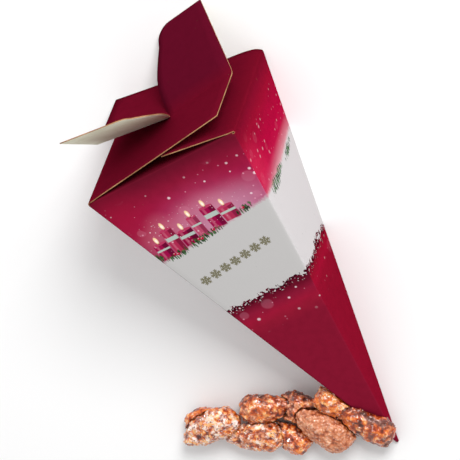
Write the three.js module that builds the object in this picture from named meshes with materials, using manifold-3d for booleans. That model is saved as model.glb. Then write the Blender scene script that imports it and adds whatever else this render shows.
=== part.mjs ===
// Candied almonds with the printed cone carton they are sold in.
//
// The carton is one sheet of folded card: a square cone lying on its back panel, shut by two
// wide flaps whose ears hook past each other.  Nine sugared almonds lie in a heap round its tip.
// Units are millimetres.  +X runs from the tip to the lid, +Z is up, the heap lies towards +Y.

import * as THREE from 'three';
import { mergeVertices } from 'three/addons/utils/BufferGeometryUtils.js';
import Module from 'manifold-3d';

const wasm = await Module();
wasm.setup();

// ---------------------------------------------------------------- driving dimensions

const CONE_HEIGHT = 185;                     // sharp tip to lid, along the cone's axis
const LID_SIDE = 76;                         // the lid is square
const TIP_SIDE = 1.2;                        // the tip ends in a small blunt square
const CREASE_CHAMFER = 0.5;                  // the folded edges are not quite sharp
const CARD = 0.5;                            // thickness of the card
const FLAP_INSET = 0.2;                      // the flaps are a little narrower than the lid
const GABLE_INSET = 5;                       // the tucked-in panels stop short of the flap edges

// A flap is hinged on a side edge of the lid.  Past the middle its rear half is an ear, which
// is bent up and passes over the other flap.
const FLAP_LEFT = {
  reach: 74.4,                               // hinge to end edge, along the flap
  tilt: 7.7,                                 // degrees, how far the shut flap stays up
  bend: 29.6,                                // degrees, how far the ear is bent up
  bendRadius: 10,
  bendSkew: 0,                               // degrees, turn of the bend line within the flap
  earLength: 49,                             // how far the ear reaches past its bend
  earInset: 8.3,                             // the ear narrows by this much at its tip
  earCorner: 7,                              // radius of the tip's inner corner
  hook: 3,                                   // the ear's inner edge bulges by this much,
  hookShare: 0.8,                            // over this share of its length,
  tipLean: 2.8,                              // and leans in by this much at the tip
  turn: 0,
};
const FLAP_RIGHT = {
  reach: 72.9,
  tilt: 7.8,
  bend: 30,
  bendRadius: 1.8,
  bendSkew: 3.5,
  earLength: 47.4,
  earInset: 2.1,
  earCorner: 3,
  hook: 4.1,
  hookShare: 0.85,
  tipLean: 1.7,
  turn: Math.PI,                             // hinged on the opposite side, seen from above
};

const LEAN_FROM_SHARE = 0.45;                // of an ear's length, from its bend

const GAP = 0.4;                             // free space between two pieces that touch

// Each almond is a rounded drop with a lumpy sugar crust.  size is its length, width and height;
// at is its middle, from the cone's sharp tip and the floor; turn, nose and roll are degrees: the
// heading of its pointed end, that end's lift, and the turn about its own length.  They nestle
// together: each is flattened where it meets the floor, the carton or an almond named before it.
const ALMONDS = [
  { name: 'almond_matte', size: [29.5, 20.5, 15], at: [24.2, 24, 9.5], turn: 30, nose: 6, roll: -26 },
  { name: 'almond_middle_front', size: [30, 16.5, 12.5], at: [34.2, 56.7, 7], turn: 68, nose: -4, roll: -8 },
  { name: 'almond_middle_back', size: [25.5, 16, 13.5], at: [43.6, 44.8, 7.2], turn: -104, nose: 3, roll: 12 },
  { name: 'almond_far_front', size: [33, 17, 13.5], at: [46.6, 73.4, 9.2], turn: 95, nose: -8, roll: -30 },
  { name: 'almond_far_back', size: [25, 15, 11.5], at: [49, 73, 5.6], turn: -102, nose: 0, roll: 5 },
  { name: 'almond_at_tip', size: [31, 17, 13], at: [19, 6, 9.4], turn: 29, nose: 13, roll: -28 },
  { name: 'almond_glossy', size: [22.5, 14.5, 12.5], at: [32.4, 12.8, 11], turn: -150, nose: -4, roll: 28 },
  { name: 'almond_small_front', size: [22.5, 14.5, 12], at: [27, 42.7, 5.8], turn: 36, nose: -4, roll: -10 },
  { name: 'almond_small_back', size: [24, 16.5, 11.5], at: [36.4, 30.2, 6], turn: -130, nose: 8, roll: 2 },
];
const ALMOND_DETAIL = 5;                     // 20 * (detail + 1)^2 triangles each
const NOSE_TAPER = 0.28;                     // how much slimmer the pointed end is
const FULL_ENDS = 0.14;                      // how much blunter both ends are than a ball's
const LUMP_COUNT = 34;
const LUMP_RADIUS = 0.42;                    // radians, on the unit sphere
const LUMP_HEIGHT = 0.13;                    // of the almond's half width
const FLOOR_SLAB = 400;                      // stands for the floor under the heap

// ---------------------------------------------------------------- materials

const cardMaterial = new THREE.MeshStandardMaterial({
  color: 0x8c1730,
  roughness: 0.5,
  metalness: 0,
});
const CRUST_COLOURS = [0xc98a63, 0xb9744b, 0xd09a6e];

// ---------------------------------------------------------------- closed bodies from sections

// Joins equal rings of points into one closed body.  The rings follow one another along the
// body, and each runs anticlockwise as seen from the last ring's end.
function loft(sections) {
  const count = sections[0].length;
  const positions = sections.flat().flatMap((point) => point.toArray());
  const index = [];
  for (let s = 0; s < sections.length - 1; s += 1) {
    for (let i = 0; i < count; i += 1) {
      const a = s * count + i;
      const b = s * count + ((i + 1) % count);
      index.push(a, b, b + count, a, b + count, a + count);
    }
  }
  const last = (sections.length - 1) * count;
  for (let i = 1; i < count - 1; i += 1) {
    index.push(0, i + 1, i);
    index.push(last, last + i, last + i + 1);
  }
  const geometry = new THREE.BufferGeometry();
  geometry.setAttribute('position', new THREE.Float32BufferAttribute(positions, 3));
  geometry.setIndex(index);
  return geometry;
}

function solidOf(geometry) {
  const merged = mergeVertices(geometry, 1e-4);
  return new wasm.Manifold(new wasm.Mesh({
    numProp: 3,
    vertProperties: new Float32Array(merged.attributes.position.array),
    triVerts: new Uint32Array(merged.index.array),
  }));
}

function geometryOf(solid) {
  const mesh = solid.getMesh();
  const geometry = new THREE.BufferGeometry();
  geometry.setAttribute('position', new THREE.BufferAttribute(mesh.vertProperties, 3));
  geometry.setIndex(new THREE.BufferAttribute(mesh.triVerts, 1));
  return geometry;
}

// ---------------------------------------------------------------- the cone of card

// The cone stands on its tip here: its axis is +Z, its front panel faces -Y.
function coneRing(height, margin) {
  const half = (LID_SIDE / 2) * (height / CONE_HEIGHT) + margin;
  const chamfer = Math.min(CREASE_CHAMFER, half / 3);
  const short = half - chamfer;
  return [
    [half, -short], [half, short], [short, half], [-short, half],
    [-half, short], [-half, -short], [-short, -half], [short, -half],
  ].map(([x, y]) => new THREE.Vector3(x, y, height));
}

function coneBody(margin = 0) {
  const tipHeight = CONE_HEIGHT * TIP_SIDE / LID_SIDE;
  return loft([coneRing(tipHeight - margin, margin), coneRing(CONE_HEIGHT, margin)]);
}

// The tucked-in panels that hold the two flaps up, as a low gable under them.
function gableBody() {
  const half = LID_SIDE / 2;
  const ridge = half * Math.tan(THREE.MathUtils.degToRad(FLAP_LEFT.tilt));
  const section = (y) => [
    new THREE.Vector3(-half + GABLE_INSET, y, CONE_HEIGHT - 1),
    new THREE.Vector3(-half + GABLE_INSET, y, CONE_HEIGHT + ridge * GABLE_INSET / half - CARD / 2),
    new THREE.Vector3(0, y, CONE_HEIGHT + ridge - CARD / 2),
    new THREE.Vector3(half - GABLE_INSET, y, CONE_HEIGHT + ridge * GABLE_INSET / half - CARD / 2),
    new THREE.Vector3(half - GABLE_INSET, y, CONE_HEIGHT - 1),
  ];
  return loft([section(-half + GABLE_INSET), section(half - GABLE_INSET)]);
}

// ---------------------------------------------------------------- flaps

// A point of a flap: u from the hinge, v from the front edge, w above the card's top side.
// Only the half of the flap beyond the slit is bent.
function flapPoint(flap, u, v, w, bent) {
  const half = LID_SIDE / 2;
  const tilt = THREE.MathUtils.degToRad(flap.tilt);
  const bend = THREE.MathUtils.degToRad(flap.bend);
  const skew = THREE.MathUtils.degToRad(flap.bendSkew);
  const past = (v - half - (u - half) * Math.tan(skew)) * Math.cos(skew);
  let across = 0;
  let rise = w;
  if (bent && past > 0) {
    const arc = Math.min(past, flap.bendRadius * bend);
    const angle = arc / flap.bendRadius;
    const straight = past - arc;
    across = flap.bendRadius * Math.sin(angle) + straight * Math.cos(angle) - w * Math.sin(angle) - past;
    rise = flap.bendRadius * (1 - Math.cos(angle)) + straight * Math.sin(angle) + w * Math.cos(angle);
  }
  const flatU = u - across * Math.sin(skew);
  const flatV = v + across * Math.cos(skew);
  const point = new THREE.Vector3(
    flatU * Math.cos(tilt) - rise * Math.sin(tilt) - half,
    flatV - half,
    flatU * Math.sin(tilt) + rise * Math.cos(tilt) + CONE_HEIGHT,
  );
  return point.applyAxisAngle(new THREE.Vector3(0, 0, 1), flap.turn);
}

// Where the ear's inner edge lies at a share of its length: 0 at the slit's end, 1 at the tip.
function earInnerEdge(flap, share) {
  const half = LID_SIDE / 2;
  const hook = -flap.hook * Math.sin(Math.PI * Math.min(share / flap.hookShare, 1));
  const lean = flap.tipLean * Math.max(share - LEAN_FROM_SHARE, 0) / (1 - LEAN_FROM_SHARE);
  const fromTip = flap.earLength * (1 - share);
  const inside = Math.max(flap.earCorner - fromTip, 0);
  const corner = flap.earCorner - Math.sqrt(Math.max(flap.earCorner ** 2 - inside ** 2, 0));
  return half + hook + lean + corner;
}

// The shares at which an ear is cut into sections: close together in the bend and the corner.
function earShares(flap) {
  const bendEnd = flap.bendRadius * THREE.MathUtils.degToRad(flap.bend) / flap.earLength;
  const cornerStart = 1 - flap.earCorner / flap.earLength;
  const steps = (count) => Array.from({ length: count }, (_, i) => (i + 1) / count);
  return [
    ...steps(4).map((part) => part * bendEnd),
    ...steps(8).map((part) => bendEnd + part * (cornerStart - bendEnd)),
    ...steps(6).map((part) => cornerStart + (1 - cornerStart) * Math.sin(part * Math.PI / 2)),
  ];
}

function plateSection(flap, inner, outer, bent) {
  return [
    flapPoint(flap, inner.u, inner.v, -CARD, bent),
    flapPoint(flap, inner.u, inner.v, 0, bent),
    flapPoint(flap, outer.u, outer.v, 0, bent),
    flapPoint(flap, outer.u, outer.v, -CARD, bent),
  ];
}

// A flap is two plates: the hinged half, and the half that carries the ear.
function flapBodies(flap) {
  const half = LID_SIDE / 2;
  const skew = Math.tan(THREE.MathUtils.degToRad(flap.bendSkew));
  const overlap = 1;
  const hinged = [FLAP_INSET, LID_SIDE - FLAP_INSET].map((v) => plateSection(
    flap,
    { u: 0, v },
    { u: half - flap.hook - GAP, v },
    false,
  ));
  const front = [0, 1].map((share) => plateSection(
    flap,
    { u: half - flap.hook - overlap, v: FLAP_INSET + share * (half - overlap - FLAP_INSET) },
    { u: flap.reach, v: FLAP_INSET + share * (half - FLAP_INSET + (flap.reach - half) * skew) },
    true,
  ));
  const ear = earShares(flap).map((share) => {
    const inner = earInnerEdge(flap, share);
    const outer = flap.reach - flap.earInset * share;
    const vAt = (u) => half + share * flap.earLength + (1 - share) * (u - half) * skew;
    return plateSection(flap, { u: inner, v: vAt(inner) }, { u: outer, v: vAt(outer) }, true);
  });
  return [loft(hinged), loft([...front, ...ear])];
}

function cartonGeometry() {
  const bodies = [coneBody(), gableBody(), ...flapBodies(FLAP_LEFT), ...flapBodies(FLAP_RIGHT)];
  return geometryOf(bodies.map(solidOf).reduce((whole, next) => whole.add(next)));
}

// The turn that lays the cone on its back panel: the sharp tip stays at the origin.
function lyingOnBack() {
  const lean = Math.atan2(LID_SIDE / 2, CONE_HEIGHT);
  return new THREE.Matrix4().makeBasis(
    new THREE.Vector3(0, -1, 0),
    new THREE.Vector3(Math.sin(lean), 0, -Math.cos(lean)),
    new THREE.Vector3(Math.cos(lean), 0, Math.sin(lean)),
  );
}

// ---------------------------------------------------------------- almonds

// Repeatable numbers between 0 and 1, a new run for each almond: a Lehmer generator.
function randomRun(seed) {
  const multiplier = 16807;
  const modulus = 2147483647;
  let state = seed * 7919 + 17;
  return () => {
    state = (state * multiplier) % modulus;
    return state / modulus;
  };
}

// Lumps of crust, spread evenly over a unit sphere with a little disorder.
function crustLumps(random) {
  const golden = Math.PI * (3 - Math.sqrt(5));
  const start = random() * 2 * Math.PI;
  return Array.from({ length: LUMP_COUNT }, (_, i) => {
    const z = 1 - (2 * i + 1) / LUMP_COUNT + (random() - 0.5) * 0.08;
    const angle = start + i * golden + (random() - 0.5) * 0.5;
    const ring = Math.sqrt(Math.max(1 - z * z, 0));
    return {
      centre: new THREE.Vector3(ring * Math.cos(angle), ring * Math.sin(angle), z).normalize(),
      radius: LUMP_RADIUS * (0.75 + 0.5 * random()),
      height: LUMP_HEIGHT * (0.35 + random()),
    };
  });
}

function almondGeometry([length, width, height], seed) {
  const lumps = crustLumps(randomRun(seed));
  const ball = new THREE.IcosahedronGeometry(1, ALMOND_DETAIL);
  ball.deleteAttribute('normal');
  ball.deleteAttribute('uv');
  const geometry = mergeVertices(ball);
  const place = geometry.attributes.position;
  const point = new THREE.Vector3();
  for (let i = 0; i < place.count; i += 1) {
    point.fromBufferAttribute(place, i).normalize();
    let swell = 1;
    for (const lump of lumps) {
      const near = 1 - point.angleTo(lump.centre) / lump.radius;
      if (near > 0) swell += lump.height * near * near * (3 - 2 * near);
    }
    const girth = swell * (1 - NOSE_TAPER * point.x) * (1 + FULL_ENDS * point.x ** 2);
    place.setXYZ(i, point.x * swell, point.y * girth, point.z * girth);
  }
  geometry.computeBoundingBox();
  const size = geometry.boundingBox.getSize(new THREE.Vector3());
  geometry.center();
  geometry.scale(length / size.x, width / size.y, height / size.z);
  return geometry;
}

// ---------------------------------------------------------------- laying the heap

function poseOf({ at, turn, nose, roll }) {
  const angles = [roll, -nose, turn].map(THREE.MathUtils.degToRad);
  const rotation = new THREE.Quaternion().setFromEuler(new THREE.Euler(...angles, 'ZYX'));
  return new THREE.Matrix4().compose(new THREE.Vector3(...at), rotation, new THREE.Vector3(1, 1, 1));
}

// An almond's own solid in its place, grown on all sides by a margin.
function almondSolid(almond, seed, margin) {
  const grown = almond.size.map((side) => side + 2 * margin);
  return solidOf(almondGeometry(grown, seed).applyMatrix4(poseOf(almond)));
}

function floorSolid() {
  const slab = new THREE.BoxGeometry(FLOOR_SLAB, FLOOR_SLAB, FLOOR_SLAB);
  slab.deleteAttribute('normal');
  slab.deleteAttribute('uv');
  return solidOf(slab.translate(0, 0, -FLOOR_SLAB / 2));
}

function layAlmond(almond, index, obstacles) {
  const material = new THREE.MeshStandardMaterial({
    color: CRUST_COLOURS[index % CRUST_COLOURS.length],
    roughness: 0.45,
    metalness: 0,
  });
  const seed = index + 1;
  const whole = almondSolid(almond, seed, 0);
  const solid = obstacles.reduce((rest, obstacle) => rest.subtract(obstacle), whole);
  obstacles.push(almondSolid(almond, seed, GAP));
  const pose = poseOf(almond);
  const mesh = new THREE.Mesh(geometryOf(solid).applyMatrix4(pose.clone().invert()), material);
  mesh.name = almond.name;
  mesh.applyMatrix4(pose);
  return mesh;
}

// ---------------------------------------------------------------- the whole

const group = new THREE.Group();
const carton = new THREE.Mesh(cartonGeometry(), cardMaterial);
carton.name = 'carton';
carton.applyMatrix4(lyingOnBack());
group.add(carton);

const obstacles = [floorSolid(), solidOf(coneBody(GAP).applyMatrix4(lyingOnBack()))];
ALMONDS.forEach((almond, index) => group.add(layAlmond(almond, index, obstacles)));

// The middle of the whole's underside is the origin.
const box = new THREE.Box3().setFromObject(group, true);
const middle = box.getCenter(new THREE.Vector3());
group.position.set(-middle.x, -middle.y, 0);

export default group;
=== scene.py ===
# %% [markdown]
# # Candied almonds and the printed cone carton they are sold in
#
# A cone carton is one sheet of folding card. Four long triangles are creased into a square cone,
# two wide flaps shut it by hooking past each other, and two small flaps are tucked in under them.
# The cone cannot stand on its tip, so it lies on its back panel. Nine almonds from it, cooked in
# sugar until they have a lumpy caramel crust, are heaped round the tip.
#
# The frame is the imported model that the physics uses. Every piece below replaces one of its
# nodes, so all places are worked out from the boxes and meshes of those nodes.

# %% The frame and the units
import math

import bmesh
import bpy
import numpy as np
from mathutils import Matrix, Vector


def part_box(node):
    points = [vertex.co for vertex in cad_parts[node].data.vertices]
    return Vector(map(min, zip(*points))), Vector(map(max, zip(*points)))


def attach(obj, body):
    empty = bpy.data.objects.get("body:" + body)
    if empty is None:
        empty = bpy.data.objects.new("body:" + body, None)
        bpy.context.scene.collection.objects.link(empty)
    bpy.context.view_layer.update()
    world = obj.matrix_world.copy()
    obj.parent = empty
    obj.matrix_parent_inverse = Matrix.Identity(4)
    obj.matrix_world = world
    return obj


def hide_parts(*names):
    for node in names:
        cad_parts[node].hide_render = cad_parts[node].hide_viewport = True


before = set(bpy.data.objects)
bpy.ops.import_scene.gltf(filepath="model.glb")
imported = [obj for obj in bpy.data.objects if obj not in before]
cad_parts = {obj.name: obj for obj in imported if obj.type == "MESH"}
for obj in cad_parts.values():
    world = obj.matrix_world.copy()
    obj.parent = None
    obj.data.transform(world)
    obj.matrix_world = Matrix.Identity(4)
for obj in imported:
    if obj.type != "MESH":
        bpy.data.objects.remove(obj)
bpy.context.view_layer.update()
MM = 0.001
scene = bpy.context.scene

# %% [markdown]
# Three helpers serve every material and tree. Colours are written as the sRGB values that a
# colour chart would give, but shaders work with linear light, so one function turns them over.
# One function adds a node with its settings and links, which keeps the trees short to read, and
# the kinds of node that are used most get short names. One starts a material with an empty tree.

# %% Helpers for colours, nodes and links
MATH = "ShaderNodeMath"
VECTOR_MATH = "ShaderNodeVectorMath"
MAP_RANGE = "ShaderNodeMapRange"
MIX = "ShaderNodeMix"
RAMP = "ShaderNodeValToRGB"
NOISE = "ShaderNodeTexNoise"
VORONOI = "ShaderNodeTexVoronoi"


def linear(colour):
    """The linear RGBA of an sRGB hex colour."""
    parts = [int(colour[i : i + 2], 16) / 255 for i in (1, 3, 5)]
    return [p / 12.92 if p <= 0.04045 else ((p + 0.055) / 1.055) ** 2.4 for p in parts] + [1.0]


def add_node(tree, kind, inputs=(), stops=(), **settings):
    """A new node: settings are its properties, and inputs fill its sockets in turn or by name.

    An input is a constant, a hex colour, a socket, a node, whose first live output is then
    used, or a list of nodes for a socket that takes several. stops are the (position, hex
    colour) pairs of a colour ramp."""
    node = tree.nodes.new(kind)
    for name, value in settings.items():
        setattr(node, name, value)
    live = [socket for socket in node.inputs if socket.enabled]
    named = inputs if isinstance(inputs, dict) else dict(enumerate(inputs))
    for name, value in named.items():
        socket = live[name] if isinstance(name, int) else next(s for s in live if s.name == name)
        for source in value if isinstance(value, list) else [value]:
            if isinstance(source, bpy.types.Node):
                source = next(output for output in source.outputs if output.enabled)
            if isinstance(source, bpy.types.NodeSocket):
                tree.links.new(source, socket)
            else:
                is_colour = isinstance(source, str) and source.startswith("#")
                socket.default_value = linear(source) if is_colour else source
    for i, (position, colour) in enumerate(stops):
        if i > 1:
            node.color_ramp.elements.new(position)
        node.color_ramp.elements[i].position = position
        node.color_ramp.elements[i].color = linear(colour)
    return node


def new_material(name):
    """A material with an empty tree."""
    material = bpy.data.materials.new(name)
    material.use_nodes = True
    material.node_tree.nodes.clear()
    return material, material.node_tree


# %% [markdown]
# ## Where the carton is
#
# The carton is easiest to describe standing on its tip: z runs up its axis, x to the right and y
# to the back as one looks at its front panel. One matrix then lays it on its back panel. Its
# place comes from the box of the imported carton: the tip ends in a small blunt square, so the
# sharp tip that the panels aim at is a little outside that box.

# %% The carton's own axes
CONE_HEIGHT = 185
LID_SIDE = 76
HALF = LID_SIDE / 2
TIP_SIDE = 1.2
CARD = 0.45

slope = math.atan2(HALF, CONE_HEIGHT)
SLANT = math.hypot(HALF, CONE_HEIGHT)
carton_low, carton_high = (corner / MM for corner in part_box("carton"))
tip_height = CONE_HEIGHT * TIP_SIDE / LID_SIDE
tip_reach = math.cos(slope) * tip_height - math.sin(slope) * TIP_SIDE / 2
sharp_tip = Vector((carton_low.x - tip_reach, (carton_low.y + carton_high.y) / 2, 0))
lay_down = Matrix(
    (
        (0, math.sin(slope), math.cos(slope), sharp_tip.x),
        (-1, 0, 0, sharp_tip.y),
        (0, -math.cos(slope), math.sin(slope), 0),
        (0, 0, 0, 1),
    )
)
print("sharp tip at, mm:", [round(v, 2) for v in sharp_tip])
print("panel slope, degrees:", round(math.degrees(slope), 2))

# %% [markdown]
# ## The folded sheet
#
# All panels and flaps are one sheet, so they are built as patches of quads that share their
# border points, and a weld joins them. The sheet is only the printed side. Solidify then gives it
# the thickness of the card, with the plain inner side and the raw cut edge in their own
# materials, just as on real board.
#
# Each point also gets a place in the print: across the panel and down from the lid, in
# millimetres. The shader draws the print there, so its motifs keep their true size.


# %% A sheet made of patches
class Sheet:
    """Collects patches of quads. A patch is a grid of (point, print place) pairs in rows."""

    def __init__(self):
        self.mesh = bmesh.new()
        self.print_map = self.mesh.loops.layers.uv.new("Print")

    def patch(self, rows, turned=False):
        verts = [[self.mesh.verts.new(point) for point, _ in row] for row in rows]
        for r in range(len(rows) - 1):
            for c in range(len(rows[r]) - 1):
                corners = [(r, c), (r, c + 1), (r + 1, c + 1), (r + 1, c)]
                if turned:
                    corners.reverse()
                face = self.mesh.faces.new([verts[i][j] for i, j in corners])
                face.smooth = True
                for loop, (i, j) in zip(face.loops, corners):
                    loop[self.print_map].uv = rows[i][j][1]


# %% [markdown]
# The cone is a square tube that shrinks to the tip. Its creases are not knife edges: card of this
# weight folds to a radius of a little under a millimetre, which gives each crease a soft
# highlight. The four panels and the four creases are patches from the tip up to the lid.
#
# The front and back share one print and the two sides another, so in the print's own plane the
# side panels are drawn 200 mm to the right of the front.

# %% The cone's panels and creases
CREASE_RADIUS = 0.85
SHARPEST = 0.8  # a crease's radius is at most this share of the panel's half width
FOLD_LENGTH = 0.8
SIDE_PRINT = 200
PANEL_COLUMNS = 20
CREASE_COLUMNS = 4
HEIGHTS = [tip_height, 6, 10, 16, 24] + [30 + 3.0 * i for i in range(50)] + [180, 182.5]
HEIGHTS.append(CONE_HEIGHT - FOLD_LENGTH * math.cos(slope))


def turned_about_axis(x, y, quarter):
    """A point turned by quarters of a full turn about the cone's axis, seen from the lid."""
    for _ in range(quarter):
        x, y = -y, x
    return x, y


def down_from_lid(z):
    return (CONE_HEIGHT - z) * SLANT / CONE_HEIGHT


def panel_point(quarter, x, z):
    """A point on a panel (0 front, 1 right, 2 back, 3 left) and its place in the print."""
    across, deep = turned_about_axis(x, -HALF * z / CONE_HEIGHT, quarter)
    return (across, deep, z), (x + SIDE_PRINT * (quarter % 2), down_from_lid(z))


def crease_radius(z):
    return min(CREASE_RADIUS, SHARPEST * HALF * z / CONE_HEIGHT)


def crease_point(quarter, share, z, side):
    """A point on the crease after a panel, share 0 to 1 round it, printed with the side given."""
    radius = crease_radius(z)
    flat = HALF * z / CONE_HEIGHT - radius
    angle = share * math.pi / 2
    x, y = flat + radius * math.sin(angle), -flat - radius * math.cos(angle)
    across, deep = turned_about_axis(x, y, quarter)
    print_x = flat + angle * radius if side == 0 else -flat - (math.pi / 2 - angle) * radius
    place = (print_x + SIDE_PRINT * ((quarter + side) % 2), down_from_lid(z))
    return (across, deep, z), place


def flat_half(z):
    return HALF * z / CONE_HEIGHT - crease_radius(z)


sheet = Sheet()
for quarter in range(4):
    shares = np.linspace(-1, 1, PANEL_COLUMNS + 1)
    sheet.patch([[panel_point(quarter, s * flat_half(z), z) for s in shares] for z in HEIGHTS])
    for side in (0, 1):
        parts = np.linspace(side / 2, (side + 1) / 2, CREASE_COLUMNS // 2 + 1)
        sheet.patch([[crease_point(quarter, p, z, side) for p in parts] for z in HEIGHTS])
print("faces in the cone:", len(sheet.mesh.faces))

# %% [markdown]
# ## The two wide flaps
#
# Each flap is hinged on a side edge of the lid and rises gently to the middle. Beyond the middle
# it is cut by a slit: the near half lies flat on the other flap, and the far half is an ear that
# is bent up and passes over the other flap's slit. That is what keeps the cone shut. The hinge of
# springy card never folds quite flat, so each flap leaves the hinge steeply and then levels out.
#
# The right flap is the left one turned half round the axis, with its own sizes, because no two
# folds come out alike.

# %% The sizes of the flaps, in mm and degrees
FLAP_LEFT = {
    "half_turns": 0,
    "reach": 74.4,  # hinge to end edge
    "tilt": 7.7,
    "bend": 29.6,  # of the ear
    "bend_radius": 10,
    "bend_skew": 0,  # how far the bend line is turned within the flap
    "bow": (0.3, 0.8),  # how far the card bulges near its hinge, at its near and far ends
    "ear_length": 49,
    "ear_inset": 8.3,  # how much the ear narrows at its tip
    "ear_corner": 7,
    "hook": 3,  # how far the ear's inner edge bulges
    "hook_share": 0.8,  # the share of its length that bulges
    "tip_lean": 2.8,
}
FLAP_RIGHT = {
    "half_turns": 1,
    "reach": 72.9,
    "tilt": 7.8,
    "bend": 30,
    "bend_radius": 1.8,
    "bend_skew": 3.5,
    "bow": (1.5, 0.2),
    "ear_length": 47.4,
    "ear_inset": 2.1,
    "ear_corner": 3,
    "hook": 4.1,
    "hook_share": 0.85,
    "tip_lean": 1.7,
}
for flap in (FLAP_LEFT, FLAP_RIGHT):
    print("a flap reaches", flap["reach"], "mm, its ear bends up by", flap["bend"], "degrees")

# %% [markdown]
# A place on a flap is given by u, measured from the hinge, and v, along the hinge from the flap's
# near end, as if the flap lay flat. One function bends the card there and turns it to its own
# side of the lid. The others know the outlines: the ear's edge beside the slit bulges into a
# hook, then leans in and rounds off at its tip.

# %% The shape of a flap
LEAN_FROM_SHARE = 0.45
SLIT_EDGE = 34.5  # u of the hinged half's free edge, which the ear's hook almost reaches
BOW_PEAK = 9  # u at which the bulge near the hinge is highest


def flap_point(flap, u, v, bent):
    """A point of a flap's printed side and its place in the print."""
    tilt, bend = math.radians(flap["tilt"]), math.radians(flap["bend"])
    skew = math.radians(flap["bend_skew"])
    radius = flap["bend_radius"]
    past = (v - HALF - (u - HALF) * math.tan(skew)) * math.cos(skew)
    across = rise = 0.0
    if bent and past > 0:
        arc = min(past, radius * bend)
        angle = arc / radius
        across = radius * math.sin(angle) + (past - arc) * math.cos(angle) - past
        rise = radius * (1 - math.cos(angle)) + (past - arc) * math.sin(angle)
    bow = flap["bow"][0] + (flap["bow"][1] - flap["bow"][0]) * v / LID_SIDE
    rise += bow * u / BOW_PEAK * math.exp(1 - u / BOW_PEAK)
    flat_u, flat_v = u - across * math.sin(skew), v + across * math.cos(skew)
    x = flat_u * math.cos(tilt) - rise * math.sin(tilt) - HALF
    z = flat_u * math.sin(tilt) + rise * math.cos(tilt) + CONE_HEIGHT
    x, y = turned_about_axis(x, flat_v - HALF, 2 * flap["half_turns"])
    return (x, y, z), (SIDE_PRINT - (v - HALF), -u)


def ear_inner_edge(flap, share):
    """u of the ear's edge beside the slit, share of the way from the bend to the tip."""
    hook = -flap["hook"] * math.sin(math.pi * min(share / flap["hook_share"], 1))
    lean = flap["tip_lean"] * max(share - LEAN_FROM_SHARE, 0) / (1 - LEAN_FROM_SHARE)
    radius = flap["ear_corner"]
    inside = max(radius - flap["ear_length"] * (1 - share), 0)
    return HALF + hook + lean + radius - math.sqrt(max(radius**2 - inside**2, 0))


def ear_point(flap, share, part):
    """A point of the ear: share runs from its bend to its tip, part from the slit outwards."""
    inner, outer = ear_inner_edge(flap, share), flap["reach"] - flap["ear_inset"] * share
    u = inner + part * (outer - inner)
    skew = math.tan(math.radians(flap["bend_skew"]))
    v = HALF + share * flap["ear_length"] + (1 - share) * (u - HALF) * skew
    return flap_point(flap, u, v, True)


def near_half_point(flap, u, v):
    """A point of the flap's near half, whose rows fan out to meet the ear's slanting bend."""
    skew = math.tan(math.radians(flap["bend_skew"]))
    slant = max(u - HALF, 0) * skew * v / HALF
    return flap_point(flap, u, v + slant, True)


ear_tips = [ear_point(flap, 1, 0.5)[0][2] - CONE_HEIGHT for flap in (FLAP_LEFT, FLAP_RIGHT)]
print("the ears' tips, mm above the lid line:", [round(height, 1) for height in ear_tips])

# %% [markdown]
# The fold from a panel into its flap is drawn with a short Bezier curve through the corner that
# the two would meet at, so it starts along the panel and ends along the flap. An ear's points
# stand closest where it turns most: round its bend and round its tip's corner.

# %% Folds, and the steps along an ear
FOLD_STEPS = 5
BEND_STEPS, EAR_STEPS, CORNER_STEPS = 8, 12, 10


def fold_curve(start, corner, end):
    """Points of a quadratic Bezier curve, with its place in the print run between the ends."""
    points = []
    for i in range(FOLD_STEPS + 1):
        t = i / FOLD_STEPS
        weights = ((1 - t) ** 2, 2 * t * (1 - t), t * t)
        point = sum((w * Vector(p[0]) for w, p in zip(weights, (start, corner, end))), Vector())
        place = [a + t * (b - a) for a, b in zip(start[1], end[1])]
        points.append((tuple(point), tuple(place)))
    return points


def ear_shares(flap):
    """The shares of an ear's length at which its points are."""
    bend_end = flap["bend_radius"] * math.radians(flap["bend"]) / flap["ear_length"]
    corner_start = 1 - flap["ear_corner"] / flap["ear_length"]
    shares = [bend_end * i / BEND_STEPS for i in range(BEND_STEPS + 1)]
    shares += list(np.linspace(bend_end, corner_start, EAR_STEPS + 1)[1:])
    quarter_turn = [math.sin((i + 1) / CORNER_STEPS * math.pi / 2) for i in range(CORNER_STEPS)]
    return shares + [corner_start + (1 - corner_start) * part for part in quarter_turn]


print("points along an ear:", len(ear_shares(FLAP_LEFT)))

# %% [markdown]
# A flap is four patches: its fold, the part between the hinge and the slit, the near half beyond
# it, and the ear. Its columns of points are those of the panel's top row, so the weld finds every
# one of them.

# %% The two wide flaps
FLAP_INSET = 0.2
WIDENING = 2  # mm past the fold over which a flap gets its full width
HINGED_U = [FOLD_LENGTH, 1.8, 3.2, 5, 7, 9.5, 12.5, 16, 20, 25, 30, SLIT_EDGE]
PAST_SLIT = 36.3
BEYOND_PARTS = [0, 0.1, 0.25, 0.4, 0.55, 0.7, 0.85, 1]


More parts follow.
